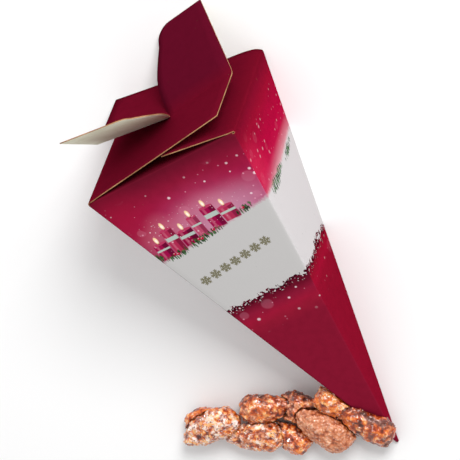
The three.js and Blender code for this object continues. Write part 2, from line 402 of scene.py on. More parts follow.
def add_flap(flap):
    """Adds the four patches of a wide flap to the sheet."""
    quarter = 3 if flap["half_turns"] == 0 else 1
    across = [s * flat_half(HEIGHTS[-1]) for s in np.linspace(1, -1, PANEL_COLUMNS + 1)]
    full = HALF - FLAP_INSET

    def along(u):
        """The flap's v positions: it widens a little once it is clear of the fold."""
        width = min(1, (u - FOLD_LENGTH) / WIDENING) * (full / across[0] - 1) + 1
        return [HALF - x * width for x in across]

    hinged = [[flap_point(flap, u, v, False) for v in along(u)] for u in HINGED_U]
    fold = []
    for column, x in enumerate(across):
        start = panel_point(quarter, x, HEIGHTS[-1])
        corner = flap_point(flap, 0, HALF - x, False)
        fold.append(fold_curve(start, corner, hinged[0][column]))
    sheet.patch([[column[i] for column in fold] for i in range(FOLD_STEPS + 1)], turned=True)
    sheet.patch(hinged, turned=True)
    beyond = [HALF + part * (flap["reach"] - HALF) for part in BEYOND_PARTS]
    near_columns = PANEL_COLUMNS // 2 + 1
    near = [
        [near_half_point(flap, u, v) for v in along(u)[:near_columns]]
        for u in [SLIT_EDGE, PAST_SLIT, *beyond]
    ]
    sheet.patch(near, turned=True)
    shares = ear_shares(flap)
    ear = [[ear_point(flap, share, part) for share in shares] for part in BEYOND_PARTS]
    sheet.patch(ear, turned=True)


add_flap(FLAP_LEFT)
add_flap(FLAP_RIGHT)
print("faces with the wide flaps:", len(sheet.mesh.faces))

# %% [markdown]
# The front and back panels fold into small flaps that are tucked in under the wide ones. They
# narrow towards their ends so that they slip in, and hang a little below the lid. All that shows
# of them is a dark slope inside the gap.

# %% The tucked-in flaps
TUCK_LENGTH = 30
TUCK_TILT = 2.5
TUCK_TAPER = 8
TUCK_ROWS = 7


def add_tuck(quarter):
    """Adds the small flap of the front (0) or the back (2) panel to the sheet."""
    across = [s * flat_half(HEIGHTS[-1]) for s in np.linspace(-1, 1, PANEL_COLUMNS + 1)]
    tilt = math.radians(TUCK_TILT)

    def point(x, w):
        narrow = 1 - TUCK_TAPER / HALF * max(w - FOLD_LENGTH, 0) / TUCK_LENGTH
        px, py = turned_about_axis(x * narrow, -HALF + w * math.cos(tilt), quarter)
        return (px, py, CONE_HEIGHT - w * math.sin(tilt)), (x * narrow, -w)

    fold = [
        fold_curve(panel_point(quarter, x, HEIGHTS[-1]), point(x, 0), point(x, FOLD_LENGTH))
        for x in across
    ]
    sheet.patch([[column[i] for column in fold] for i in range(FOLD_STEPS + 1)])
    lengths = np.linspace(FOLD_LENGTH, TUCK_LENGTH, TUCK_ROWS)
    sheet.patch([[point(x, w) for x in across] for w in lengths])


add_tuck(0)
add_tuck(2)
print("faces with all four flaps:", len(sheet.mesh.faces))

# %% [markdown]
# The weld makes one sheet of the patches, and one face closes the blunt tip. Then the standing
# carton is laid down and turned from millimetres to metres.

# %% The weld and the tip
WELD = 0.02
bmesh.ops.remove_doubles(sheet.mesh, verts=sheet.mesh.verts, dist=WELD)
tip_edges = [
    edge
    for edge in sheet.mesh.edges
    if edge.is_boundary and all(abs(v.co.z - tip_height) < WELD for v in edge.verts)
]
bmesh.ops.contextual_create(sheet.mesh, geom=tip_edges)
sheet.mesh.transform(Matrix.Scale(MM, 4) @ lay_down)
carton_mesh = bpy.data.meshes.new("carton_sheet")
sheet.mesh.to_mesh(carton_mesh)
carton = bpy.data.objects.new("carton_sheet", carton_mesh)
scene.collection.objects.link(carton)
print("sheet:", len(carton_mesh.vertices), "points,", len(carton_mesh.polygons), "faces")

# %% [markdown]
# ## The print
#
# Folding card like this is printed in offset: fine dots of ink that read as smooth fields of
# colour. This winter print has four layers. The ground runs from deep maroon at the lid through
# crimson to a pale glow over a field of snow, and below the snow's torn edge it is plain red.
# On the ground lie soft flakes. Candles, fir twigs and berries stand in a row on the snow, and a
# line of snow crystals crosses it.
#
# It could be a picture, but then its detail would be fixed by the picture's size. Here the shader
# works it out from the place in the print, in millimetres, so it stays sharp at any distance.
# The front and back share one design ("face"), and the two sides the other ("side").
#
# Two curves say where the snow begins and ends round the cone. They are stored on the points of
# the mesh as the distance below the upper edge and above the lower one.

# %% The snow's edges round the cone
# Distance from the lid, in mm, at even steps round the cone: front left crease, front middle,
# front right crease, right middle, and so on.
SNOW_TOP = [43, 40, 36.4, 37.5, 35, 38, 41, 42.5]
SNOW_END = [82, 80.5, 79.8, 80, 81, 79.5, 80.5, 81.5]
ON_FLAPS = -10  # the distance from the lid that every point of a flap is given


def edge_round_cone(levels, quarter, share):
    """The edge's distance from the lid, share -1 to 1 across a panel, on a closed smooth curve."""
    at = (quarter * 2 + share + 1) % len(levels)
    i = int(at)
    part = (1 - math.cos((at - i) * math.pi)) / 2
    return levels[i] * (1 - part) + levels[(i + 1) % len(levels)] * part


def store_snow(mesh):
    """Writes both distances on every point. Flap points are far above the snow."""
    below = mesh.attributes.new("below_snow_top", "FLOAT", "POINT")
    above = mesh.attributes.new("above_snow_end", "FLOAT", "POINT")
    to_carton = (Matrix.Scale(MM, 4) @ lay_down).inverted()
    for i, vert in enumerate(mesh.vertices):
        x, y, z = to_carton @ vert.co
        outwards = [-y, x, y, -x]  # how far out the point is, seen square on to each panel
        quarter = outwards.index(max(outwards))
        half = max(HALF * z / CONE_HEIGHT, TIP_SIDE / 2)
        share = max(-1, min([x, y, -x, -y][quarter] / half, 1))
        down = min(down_from_lid(z), SLANT) if z < CONE_HEIGHT else ON_FLAPS
        below.data[i].value = down - edge_round_cone(SNOW_TOP, quarter, share)
        above.data[i].value = edge_round_cone(SNOW_END, quarter, share) - down


store_snow(carton_mesh)
print("snow's edges on", len(carton_mesh.vertices), "points")

# %% [markdown]
# The ground of each design is a colour ramp down the panel. Offset inks are thin and clean, so
# the colours are taken nearly as a colour chart gives them. On the face the first stops, just below
# the lid, are darker than the print alone: they also hold a painted shadow of the flaps' edges.

# %% The ground of the print
RAMP_END = 110  # mm from the lid; the ground is plain from here to the tip
FACE_GROUND_AND_SHADE = [
    # mm from the lid, colour
    # the first stops, near the lid, are partly print and partly a painted shadow of the flaps' edges
    (0, "#601224"), (4, "#74142c"), (10, "#8c1836"), (16, "#9c1a40"), (22, "#a62450"),
    (30, "#ac3664"), (37, "#b45078"), (80, "#5a1024"), (84, "#6c1228"), (88, "#8c1a36"),
    (92, "#9c1936"), (96, "#921a33"), (101, "#861730"),
]
SIDE_GROUND = [
    (0, "#6c0b20"), (4, "#7c0d28"), (10, "#900e2c"), (17, "#9e0c34"), (24, "#a80a38"),
    (29, "#b01440"), (34, "#b43a5c"), (38, "#c88c98"), (80, "#6a0f24"), (84, "#8a1028"),
    (88, "#960f2d"), (92, "#8a0f29"), (101, "#850f28"),
]
card_print, tree = new_material("offset_printed_folding_card")
place = add_node(tree, "ShaderNodeUVMap", uv_map="Print")
split = add_node(tree, "ShaderNodeSeparateXYZ", (place,))
across, down = split.outputs["X"], split.outputs["Y"]
on_side = add_node(tree, MATH, (across, SIDE_PRINT / 2), operation="GREATER_THAN")
along = add_node(tree, MATH, (down, RAMP_END), operation="DIVIDE")
face_ground_and_shade, side_ground = (
    add_node(tree, RAMP, (along,), stops=[(d / RAMP_END, colour) for d, colour in ground])
    for ground in (FACE_GROUND_AND_SHADE, SIDE_GROUND)
)
ink = add_node(tree, MIX, (on_side, face_ground_and_shade, side_ground), data_type="RGBA")
print("colours down a face and a side:", len(FACE_GROUND_AND_SHADE), len(SIDE_GROUND))

# %% [markdown]
# Most things in the print are small shapes laid over what is under them. One function gives the
# mask of such a shape: dot products turn the place in the print into the shape's own axes, where
# its outline is at 1, and the mask falls from 1 to 0 there, sharply or over a soft rim. Another
# lays a colour on the ink so far through a mask.
#
# A Mapping node would do the same with fewer nodes. But the renderer keeps the results of all
# Mapping nodes until the last has run, and with this many shapes it runs out of room for them and
# draws the card black.


# %% Shapes and layers
def mask_of(tree, place, outline, centre, half_size, turn=0.0, rim=0.04):
    """1 inside a "box" or a "disc" round a centre, 0 outside; rim is how soft its edge is."""
    c, s = math.cos(math.radians(turn)), math.sin(math.radians(turn))
    parts = []
    for axis, reach in ((Vector((c, s, 0)), half_size[0]), (Vector((-s, c, 0)), half_size[1])):
        part = add_node(tree, VECTOR_MATH, (place, axis), operation="DOT_PRODUCT")
        shift = -axis.dot(Vector((*centre, 0))) / reach
        part = add_node(tree, MATH, (part, 1 / reach, shift), operation="MULTIPLY_ADD")
        parts.append(add_node(tree, MATH, (part,), operation="ABSOLUTE"))
    if outline == "box":
        away = add_node(tree, MATH, parts, operation="MAXIMUM")
    else:
        away = add_node(tree, "ShaderNodeCombineXYZ", parts)
        away = add_node(tree, VECTOR_MATH, (away,), operation="LENGTH")
    return add_node(tree, MAP_RANGE, (away, 1 + rim, 1 - rim), interpolation_type="SMOOTHSTEP")


def lay(tree, ink, mask, colour, strength=1.0):
    """The ink with a colour laid over it where the mask is, at a strength."""
    if strength < 1:
        mask = add_node(tree, MATH, (mask, strength), operation="MULTIPLY")
    return add_node(tree, MIX, (mask, ink, colour), data_type="RGBA")


def band(tree, value, start, full, end_full, end):
    """1 where the value is between full and end_full, fading to 0 at start and end."""
    rise = add_node(tree, MAP_RANGE, (value, start, full))
    fall = add_node(tree, MAP_RANGE, (value, end, end_full))
    return add_node(tree, MATH, (rise, fall), operation="MULTIPLY")


# %% [markdown]
# Above the lid line the print runs out into deep maroon on the flaps. The ears, past the bend,
# are darkened a little more, as painted shade where they turn away from the light. Solid fields of
# ink are never quite even: they show a faint mottle, a few millimetres across, where the card took
# up more or less of it.

# %% Maroon flaps, painted shade on the ears, and mottled ink
MOTTLE = 3.5  # mm across a cloud of denser ink
on_flap = add_node(tree, MAP_RANGE, (down, 1.0, -7.0))
ink = lay(tree, ink, on_flap, "#640b20")
# painted shade: the ears, past the bend, are darkened where they turn away from the light
beyond_bend = band(tree, across, SIDE_PRINT - 60, SIDE_PRINT - 55, SIDE_PRINT - 10, SIDE_PRINT - 2)
beyond_slit = add_node(tree, MAP_RANGE, (down, 1 - SLIT_EDGE, -SLIT_EDGE))
ear_shade = add_node(tree, MATH, (beyond_bend, beyond_slit), operation="MULTIPLY")
ink = lay(tree, ink, ear_shade, "#540c22", 0.7)
spot = add_node(tree, "ShaderNodeTexCoord").outputs["Object"]
clouds = add_node(tree, NOISE, {"Vector": spot, "Scale": 1 / (MOTTLE * MM), "Detail": 5.0})
clouds = add_node(tree, MAP_RANGE, (clouds, 0.4, 0.65))
ink = lay(tree, ink, clouds, "#38040f", 0.09)
print("nodes in the print with its grounds:", len(tree.nodes))

# %% [markdown]
# Light glows behind the candles that will stand in the print, and the ground's edges are redder.
# Each glow is a disc whose rim is so soft that it fades from the middle on. Such a disc blends
# into the ramp under it without an edge, and can be set at a slant, which a ramp cannot.

# %% Glows
GLOW_RIM = 0.95
GLOWS = [
    # centre, half size, both in mm, turn, colour, strength
    ((8, 34), (17.5, 8.5), -9, "#cc9cb4", 0.7),
    ((3, 25), (15, 8.5), -9, "#b04c74", 0.4),
    ((-30, 24), (12, 18), 0, "#9c1434", 0.7),
    ((SIDE_PRINT - 31, 25), (13, 10), 25, "#c82c50", 0.55),
    ((SIDE_PRINT + 14, 36.5), (30, 4.0), -2, "#d4a4a8", 0.45),
]
for *shape, colour, strength in GLOWS:
    glow = mask_of(tree, place, "disc", *shape, rim=GLOW_RIM)
    ink = lay(tree, ink, glow, colour, strength)
print("glows:", len(GLOWS))

# %% [markdown]
# Flakes and sparkles are scattered by a Voronoi texture: every cell holds one, at the cell's
# random point, and the cell's random colour decides how large it is, or that it is not there.
# Large faint discs are flakes out of focus, small pale ones are those in focus.


# %% Scattered flakes
def scatter(tree, place, spacing, smallest, largest, missing, rim, shift):
    """The mask of discs, one to a cell of the spacing: radii in mm, missing is a share of cells."""
    moved = add_node(tree, VECTOR_MATH, (place, (shift, shift, 0)), operation="ADD")
    cells = add_node(
        tree, VORONOI, {"Vector": moved, "Scale": 1 / spacing}, voronoi_dimensions="2D"
    )
    chance = add_node(tree, "ShaderNodeSeparateColor", (cells.outputs["Color"],))
    there = add_node(tree, MATH, (chance, missing), operation="GREATER_THAN")
    low, high = smallest / spacing, largest / spacing
    radius = add_node(tree, MAP_RANGE, (chance, missing, 1.0, low, high))
    away = add_node(tree, MATH, (cells.outputs["Distance"], radius), operation="DIVIDE")
    disc = add_node(tree, MAP_RANGE, (away, 1 + rim, 1 - rim), interpolation_type="SMOOTHSTEP")
    return add_node(tree, MATH, (disc, there), operation="MULTIPLY")


FLAKES = [
    # spacing, smallest, largest, missing, rim, shift, colour, strength
    (11.0, 1.6, 3.0, 0.74, 0.15, 3.1, "#d88aa4", 0.15),
    (6.4, 0.3, 0.72, 0.62, 0.5, 11.7, "#f4dce4", 0.75),
    (3.3, 0.18, 0.42, 0.82, 0.5, 27.3, "#e8a0b8", 0.6),
]
FAINTER_ON_SIDES = 0.36  # the strength of the flakes there
upper_sky = band(tree, down, 6, 14, 36, 42)
lower_sky = band(tree, down, 82, 85, 92, 101)
sky = add_node(tree, MATH, (upper_sky, lower_sky), operation="ADD")
shown = add_node(tree, MAP_RANGE, (on_side, 0.0, 1.0, 1.0, FAINTER_ON_SIDES))
sky = add_node(tree, MATH, (sky, shown), operation="MULTIPLY")
for *sizes, colour, strength in FLAKES:
    flakes = add_node(tree, MATH, (scatter(tree, place, *sizes), sky), operation="MULTIPLY")
    ink = lay(tree, ink, flakes, colour, strength)
print("layers of flakes:", len(FLAKES))

# %% [markdown]
# The snow is a pale grey field. Its upper edge is soft drifts, its lower edge is torn and grainy,
# with a spray of dark crumbs and white grains below it. Noise on the object's own coordinates
# moves both edges, so they run on round the creases without a break.

# %% The snow's wavering edges
DRIFT, TEAR, FLOCK = 9, 1.5, 2.4  # mm across the drifts, and the tears and flocks in the edges
drifts = add_node(tree, NOISE, {"Vector": spot, "Scale": 1 / (DRIFT * MM), "Detail": 3.0})
tears = add_node(
    tree, NOISE, {"Vector": spot, "Scale": 1 / (TEAR * MM), "Detail": 2.5, "Roughness": 0.65}
)
flocks = add_node(tree, VORONOI, {"Vector": spot, "Scale": 1 / (FLOCK * MM)})
below_top = add_node(tree, "ShaderNodeAttribute", attribute_name="below_snow_top").outputs["Fac"]
above_end = add_node(tree, "ShaderNodeAttribute", attribute_name="above_snow_end").outputs["Fac"]


def waver(tree, value, noise, reach):
    """The value moved up and down by a noise, by up to its reach."""
    centred = add_node(tree, MATH, (noise, 0.5), operation="SUBTRACT")
    return add_node(tree, MATH, (centred, 2 * reach, value), operation="MULTIPLY_ADD")


top_edge = waver(tree, waver(tree, below_top, drifts, 2.0), tears, 1.6)
end_edge = waver(tree, waver(tree, above_end, drifts, 3.0), tears, 3.0)
end_edge = waver(tree, end_edge, flocks, -1.6)
print("nodes in the print with the snow's edges:", len(tree.nodes))

# %% [markdown]
# The snow is laid where both edges say so. The dark crumbs and the loose white grains follow the
# lower edge, so they are masked by the distance from it.

# %% Snow
GRAIN = 1.15  # mm across a dark crumb
upper = add_node(tree, MAP_RANGE, (top_edge, -0.7, 1.6))
lower = add_node(tree, MAP_RANGE, (end_edge, -0.1, 0.15))
snow = add_node(tree, MATH, (upper, lower), operation="MULTIPLY")
snow_ink = add_node(tree, MIX, (on_side, "#c3c1c0", "#c8c4c5"), data_type="RGBA")
ink = lay(tree, ink, snow, snow_ink)
crumbs = add_node(tree, VORONOI, {"Vector": spot, "Scale": 1 / (GRAIN * MM)})
crumbs = add_node(tree, MAP_RANGE, (crumbs, 0.62, 0.5))
spray = band(tree, end_edge, -4.0, -1.5, 1.2, 2.6)
spray = add_node(tree, MATH, (spray, crumbs), operation="MULTIPLY")
ink = lay(tree, ink, spray, "#2c0410", 0.85)
past_edge = band(tree, end_edge, -3.6, -1.2, 0.3, 1.0)
for spacing, largest, shift in ((1.7, 0.42, 3.3), (1.1, 0.3, 8.1)):
    loose = scatter(tree, place, spacing, 0.15, largest, 0.6, 0.3, shift)
    loose = add_node(tree, MATH, (loose, past_edge), operation="MULTIPLY")
    ink = lay(tree, ink, loose, "#f0e6e8", 0.8)
print("nodes in the print with its snow:", len(tree.nodes))

# %% [markdown]
# A row of pillar candles stands in the snow. One function draws them all from the middle of the
# foot, the size and the wax, so that the row can be laid out at will. The snow is laid once more
# over their feet, so that they stand in it and not on it.


# %% Candles in the snow
def candle(x, foot, width, height, ribbon, wax, shade):
    """The shapes of one lit candle: body, shaded side, shine, ribbon, pool of wax, wick, flame."""
    w, top = width / 2, foot - height
    return [
        ("box", (x, foot - height / 2), (w, height / 2), 0.04, wax, 1.0),
        ("box", (x + w * 0.62, foot - height / 2), (w * 0.38, height / 2), 0.2, shade, 0.9),
        ("box", (x - w * 0.5, foot - height / 2), (w * 0.16, height / 2), 0.6, "#d87c94", 0.4),
        ("box", (x, top + height * 0.4), (w, ribbon), 0.1, "#b4c4bc", 0.95),
        ("disc", (x, top), (w, 0.75), 0.06, "#b83a60", 1.0),
        ("box", (x, top - 0.7), (0.2, 0.8), 0.2, "#2c0618", 1.0),
        ("disc", (x, top - 2.4), (0.85, 1.9), 0.25, "#fcd8a8", 1.0),
        ("disc", (x, top - 2.1), (0.4, 1.0), 0.5, "#fffaf0", 1.0),
    ]


CANDLES = [
    # x, foot, width, height, half the ribbon's width, wax, shaded side
    (-24.3, 43.2, 6.4, 9.0, 0.5, "#9c1048", "#640c30"),
    (-17.6, 42.8, 5.6, 14.0, 1.1, "#ac2c50", "#7c1838"),
    (-10.8, 41.6, 7.2, 8.5, 0.8, "#8c0c3c", "#5c0a2c"),
    (-4.2, 40.8, 4.8, 12.0, 0.5, "#b44a68", "#8c2c4c"),
    (4.4, 39.8, 6.4, 12.5, 1.2, "#9c1048", "#6c0c34"),
    (11.8, 39.0, 7.4, 8.0, 0.6, "#ac2c50", "#841c40"),
]
HALO = (5, 5)  # mm, half the size of the glow round a flame
FLAME = 2.5  # mm from a candle's top up to the middle of its flame
for x, foot, _, height, *_ in CANDLES:
    glow = mask_of(tree, place, "disc", (x, foot - height - FLAME), HALO, rim=GLOW_RIM)
    ink = lay(tree, ink, glow, "#e8a0b0", 0.16)
for sizes in CANDLES:
    for outline, centre, half_size, rim, colour, strength in candle(*sizes):
        mask = mask_of(tree, place, outline, centre, half_size, rim=rim)
        ink = lay(tree, ink, mask, colour, strength)
feet = add_node(tree, MAP_RANGE, (top_edge, 1.2, 2.2))
feet = add_node(tree, MATH, (snow, feet), operation="MULTIPLY")
ink = lay(tree, ink, feet, snow_ink)
print("candles:", len(CANDLES))

# %% [markdown]
# Fir twigs are tufts of needles. One shape for each needle would take hundreds, so the needles
# are noise drawn out along their slant, and a soft oval keeps them inside each twig.

# %% Fir twigs
NEEDLE = (0.45, 2.4)  # mm, the width and length of a needle
TWIGS = [
    # centre, half size, turn, slant of the needles
    ((-20.5, 43.2), (6.5, 2.3), -6, 40),
    ((-7.3, 41.4), (6.0, 2.6), -10, -35),
    ((0.6, 40.4), (4.2, 2.0), -6, 40),
    ((18.3, 36.8), (5.2, 2.2), -14, -50),
    ((-29.5, 41.5), (3.4, 4.0), 10, -30),
    ((SIDE_PRINT - 15, 39.0), (10, 3.4), 5, 45),
    ((SIDE_PRINT - 6, 38.4), (8, 2.4), -4, -45),
    ((SIDE_PRINT + 16, 39.4), (9, 2.2), -8, -50),
]
tint = add_node(tree, NOISE, {"Vector": place, "Scale": 0.5, "Detail": 1.0})
tint = add_node(tree, MAP_RANGE, (tint, 0.35, 0.65))
green = add_node(tree, MIX, (tint, "#0a2e12", "#436e3e"), data_type="RGBA")
for *shape, slant in TWIGS:
    oval = mask_of(tree, place, "disc", *shape, rim=0.6)
    turn, stretch = (0, 0, math.radians(slant)), (1 / NEEDLE[0], 1 / NEEDLE[1], 1)
    drawn = add_node(
        tree, "ShaderNodeMapping", {"Vector": place, "Rotation": turn, "Scale": stretch}
    )
    needles = add_node(tree, NOISE, {"Vector": drawn, "Scale": 0.6, "Detail": 1.0})
    needles = add_node(tree, MATH, (needles, -0.4), operation="ADD")
    needles = add_node(tree, MATH, (oval, 0.4, needles), operation="MULTIPLY_ADD")
    needles = add_node(tree, MAP_RANGE, (needles, 0.41, 0.47))
    ink = lay(tree, ink, needles, green, 0.95)
print("twigs:", len(TWIGS))

# %% [markdown]
# A few round berries sit among the twigs, each a disc with a small shine on it. Sparkles of light
# are scattered as the flakes were, and two bands hold them to the row of candles.

# %% Berries and sparkles
BERRIES = [(-21.6, 42.2), (-20.2, 42.9), (-7.9, 40.6), (-6.5, 41.0), (0.5, 39.4), (18.0, 35.9)]
for x, y in BERRIES:
    berry = mask_of(tree, place, "disc", (x, y), (0.75, 0.75), rim=0.2)
    ink = lay(tree, ink, berry, "#b0103c")
    shine = mask_of(tree, place, "disc", (x - 0.2, y - 0.3), (0.25, 0.2), rim=0.4)
    ink = lay(tree, ink, shine, "#f4c8d0", 0.9)
over_row, along_row = band(tree, down, 20, 28, 36, 41), band(tree, across, -34, -24, 4, 26)
dusted = add_node(tree, MATH, (over_row, along_row), operation="MULTIPLY")
for spacing, largest, shift in ((2.6, 0.4, 5.5), (1.6, 0.26, 17.0)):
    sparkles = scatter(tree, place, spacing, 0.12, largest, 0.78, 0.4, shift)
    sparkles = add_node(tree, MATH, (sparkles, dusted), operation="MULTIPLY")
    ink = lay(tree, ink, sparkles, "#f4dce4", 0.65)
print("berries:", len(BERRIES))

# %% [markdown]
# A line of snow crystals, a pattern as old as paper cutting, crosses the snow. They are made as
# from paper too, by folding. The place in the print is wrapped to one cell along the line, then
# to a sixth of a turn round the cell's middle, and mirrored, so that whatever is drawn in that
# narrow wedge shows in all twelve, in every cell.

# %% One cell, folded six times
CRYSTALS = {"centre": (-1.5, 59), "turn": -9, "pitch": 5.8, "count": 7, "radius": 2.7}
pitch, radius = CRYSTALS["pitch"], CRYSTALS["radius"]
middle, turn = (*CRYSTALS["centre"], 0), (0, 0, math.radians(CRYSTALS["turn"]))
line_place = add_node(
    tree,
    "ShaderNodeMapping",
    {"Vector": place, "Location": middle, "Rotation": turn},
    vector_type="TEXTURE",
)
x, y, _ = add_node(tree, "ShaderNodeSeparateXYZ", (line_place,)).outputs
x = add_node(tree, MATH, (x, -pitch / 2, pitch / 2), operation="WRAP")
angle = add_node(tree, MATH, (y, x), operation="ARCTAN2")
angle = add_node(tree, MATH, (angle, -math.pi / 6, math.pi / 6), operation="WRAP")
angle = add_node(tree, MATH, (angle,), operation="ABSOLUTE")
reach = add_node(tree, "ShaderNodeCombineXYZ", (x, y))
reach = add_node(tree, VECTOR_MATH, (reach,), operation="LENGTH")
folded = []
for operation in ("COSINE", "SINE"):
    part = add_node(tree, MATH, (angle,), operation=operation)
    folded.append(add_node(tree, MATH, (reach, part), operation="MULTIPLY"))
folded = add_node(tree, "ShaderNodeCombineXYZ", folded)
print("the line is", CRYSTALS["count"] * pitch, "mm long")

# %% [markdown]
# Three strokes, an arm and two barbs, then draw a whole crystal. With the line of them the ink
# is complete. A matt varnish seals it and scatters all light, so that the red stays deep even
# where a panel is seen at a low angle. Any gloss in the shader would mirror the pale floor there
# and bleach it.

# %% The crystals' strokes and the printed card
STROKE = 0.24  # mm, half a stroke's width
STROKES = [
    # centre and half length, as shares of the crystal's radius, and turn
    ((0.5, 0), 0.5, 0),
    ((0.68, 0.14), 0.2, 50),
    ((0.4, 0.12), 0.16, 55),
]
crystal = 0.0
for centre, half_length, turn in STROKES:
    centre, half_size = [share * radius for share in centre], (half_length * radius, STROKE)
    stroke = mask_of(tree, folded, "box", centre, half_size, turn, rim=0.2)
    crystal = add_node(tree, MATH, (crystal, stroke), operation="MAXIMUM")
half_line = (pitch * CRYSTALS["count"] / 2, pitch / 2)
in_line = mask_of(tree, line_place, "box", (0, 0), half_line, rim=0.001)  # no crystal is cut
crystal = add_node(tree, MATH, (crystal, in_line), operation="MULTIPLY")
ink = lay(tree, ink, crystal, "#6f6a4e", 0.95)
card_shader = add_node(
    tree,
    "ShaderNodeBsdfPrincipled",
    {"Base Color": ink, "Roughness": 0.5, "Specular IOR Level": 0.0},
)
add_node(tree, "ShaderNodeOutputMaterial", {"Surface": card_shader})
print("nodes in the print:", len(tree.nodes))

# %% [markdown]
# The carton's inner side is bare board, cream from its unbleached pulp, with short fibres in it.
# Its cut edges show the layers of the board, a little darker than its face.

# %% Bare board and its cut edge
FIBRE = (0.25, 1.6)  # mm, the width and length of a fibre; real ones are finer but would not show
FIBRE_RISE = 0.03  # mm by which the fibres stand out
PULP_CLOUD = 9  # mm across a cloud of denser pulp


def board_material(name, light, dark):
    """Uncoated board: fibres tint it from light to dark and raise it slightly."""
    material, tree = new_material(name)
    spot = add_node(tree, "ShaderNodeTexCoord").outputs["Object"]
    width, length = (1 / (size * MM) for size in FIBRE)
    along = add_node(tree, VECTOR_MATH, (spot, (width, length, width)), operation="MULTIPLY")
    fibres = add_node(tree, NOISE, {"Vector": along, "Scale": 1.0, "Detail": 3.0})
    clouds = add_node(tree, NOISE, {"Vector": spot, "Scale": 1 / (PULP_CLOUD * MM)})
    clouds = add_node(tree, MATH, (clouds, 0.9, -0.3), operation="MULTIPLY_ADD")
    blend = add_node(tree, MATH, (fibres, 0.6, clouds), operation="MULTIPLY_ADD")
    blend = add_node(tree, MAP_RANGE, (blend, 0.3, 0.7))
    tone = add_node(tree, MIX, (blend, dark, light), data_type="RGBA")
    raised = add_node(
        tree, "ShaderNodeBump", {"Strength": 0.25, "Distance": FIBRE_RISE * MM, "Height": fibres}
    )
    board_shader = add_node(
        tree,
        "ShaderNodeBsdfPrincipled",
        {"Base Color": tone, "Roughness": 0.75, "Specular IOR Level": 0.1, "Normal": raised},
    )
    add_node(tree, "ShaderNodeOutputMaterial", {"Surface": board_shader})
    return material


card_plain = board_material("uncoated_card_side", "#f9f7e2", "#e9e5ca")
card_cut = board_material("cut_card_edge", "#c8986c", "#8c6040")
for material in (card_print, card_plain, card_cut):
    carton_mesh.materials.append(material)
wall = carton.modifiers.new("card", "SOLIDIFY")
wall.thickness = CARD * MM
wall.offset = -1
wall.use_even_offset = True
wall.material_offset = 1
wall.material_offset_rim = 2
print("card, mm thick:", CARD)

# %% [markdown]
# ## The almonds
#
# The almonds are cooked in a pan of sugar syrup that is stirred until it crystallises and then
# browns. Each nut gets a crust of fused knobs and crumbs, with deep crevices between them. Where
# the sugar melted again it is a clear amber glaze, and where it did not it stays pale and dull.
#
# A texture alone would give a smooth nut with spots on it, so the crust is modelled. Each nut of
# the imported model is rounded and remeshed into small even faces. Geometry Nodes then push the
# faces in and out by three layers of relief, at sizes measured in millimetres. The tree also
# writes the relief, the glaze and the dull sugar on the points, and the material's colour and
# gloss follow these. One tree serves every nut, and its inputs are what differs between them.

# %% One tree for every crust
AMOUNTS = ("Knobs", "Crumbs", "Glaze", "Sugar", "Grey", "Mottle", "Tone", "Crystals")
SOCKETS = {
    "Geometry": "NodeSocketGeometry",
    "Seed": "NodeSocketVector",
    **dict.fromkeys(AMOUNTS, "NodeSocketFloat"),
    "Crust": "NodeSocketMaterial",
    "Crystal": "NodeSocketMaterial",
}
crust_tree = tree = bpy.data.node_groups.new("sugar_crust", "GeometryNodeTree")
for name, kind in SOCKETS.items():
    tree.interface.new_socket(name, in_out="INPUT", socket_type=kind)
tree.interface.new_socket("Geometry", in_out="OUTPUT", socket_type="NodeSocketGeometry")
given = add_node(tree, "NodeGroupInput").outputs
place = add_node(tree, "GeometryNodeInputPosition")
normal = add_node(tree, "GeometryNodeInputNormal")
seeded = add_node(tree, VECTOR_MATH, (place, given["Seed"]), operation="ADD")
print("inputs of the crust tree:", len(SOCKETS))

# %% [markdown]
# The knobs and the crumbs on them are cells of two sizes, bent out of shape by a noise so that
# no two are alike, and the crystals' own grain is a third, fine noise. Glaze, dull sugar and
# grey sugar each cover a share of the nut, in patches.

# %% Knobs, crumbs and patches
KNOB_SIZE = 2.7  # mm across a fused knob of sugar
CRUMB_SIZE = 1.4  # mm across a crumb on the knobs
GRAIN_SIZE = 0.45  # mm, the crystals' own grain
PATCH_SIZE = 4.5  # mm across a patch of glaze
WARP_SIZE = 3.0  # mm across a bend of the noise that bends the knobs
WARP_REACH = 3.2  # mm, how far it bends them
NOISE_LOW, NOISE_SPAN = 0.225, 0.55  # where nearly all values of a noise lie

warp = add_node(tree, NOISE, {"Vector": seeded, "Scale": 1 / (WARP_SIZE * MM)}).outputs["Color"]
warp = add_node(tree, VECTOR_MATH, (warp, (0.5, 0.5, 0.5)), operation="SUBTRACT")
warp = add_node(tree, VECTOR_MATH, {"Vector": warp, "Scale": WARP_REACH * MM}, operation="SCALE")
bent = add_node(tree, VECTOR_MATH, (seeded, warp), operation="ADD")
knobs, crumbs = (
    add_node(
        tree,
        VORONOI,
        {"Vector": bent, "Scale": 1 / (size * MM), "Smoothness": smoothness},
        feature="SMOOTH_F1",
    )
    for size, smoothness in ((KNOB_SIZE, 0.6), (CRUMB_SIZE, 0.5))
)
grain = add_node(tree, NOISE, {"Vector": seeded, "Scale": 1 / (GRAIN_SIZE * MM)})


def patches(tree, share, shift, size, detail, soft):
    """1 on about a share of the surface, in patches with soft edges, 0 elsewhere."""
    moved = add_node(tree, VECTOR_MATH, (seeded, shift), operation="ADD")
    clouds = add_node(tree, NOISE, {"Vector": moved, "Scale": 1 / (size * MM), "Detail": detail})
    level = add_node(tree, MATH, (share, NOISE_SPAN, NOISE_LOW), operation="MULTIPLY_ADD")
    above = add_node(tree, MATH, (level, clouds), operation="SUBTRACT")
    return add_node(tree, MAP_RANGE, (above, -soft, soft))


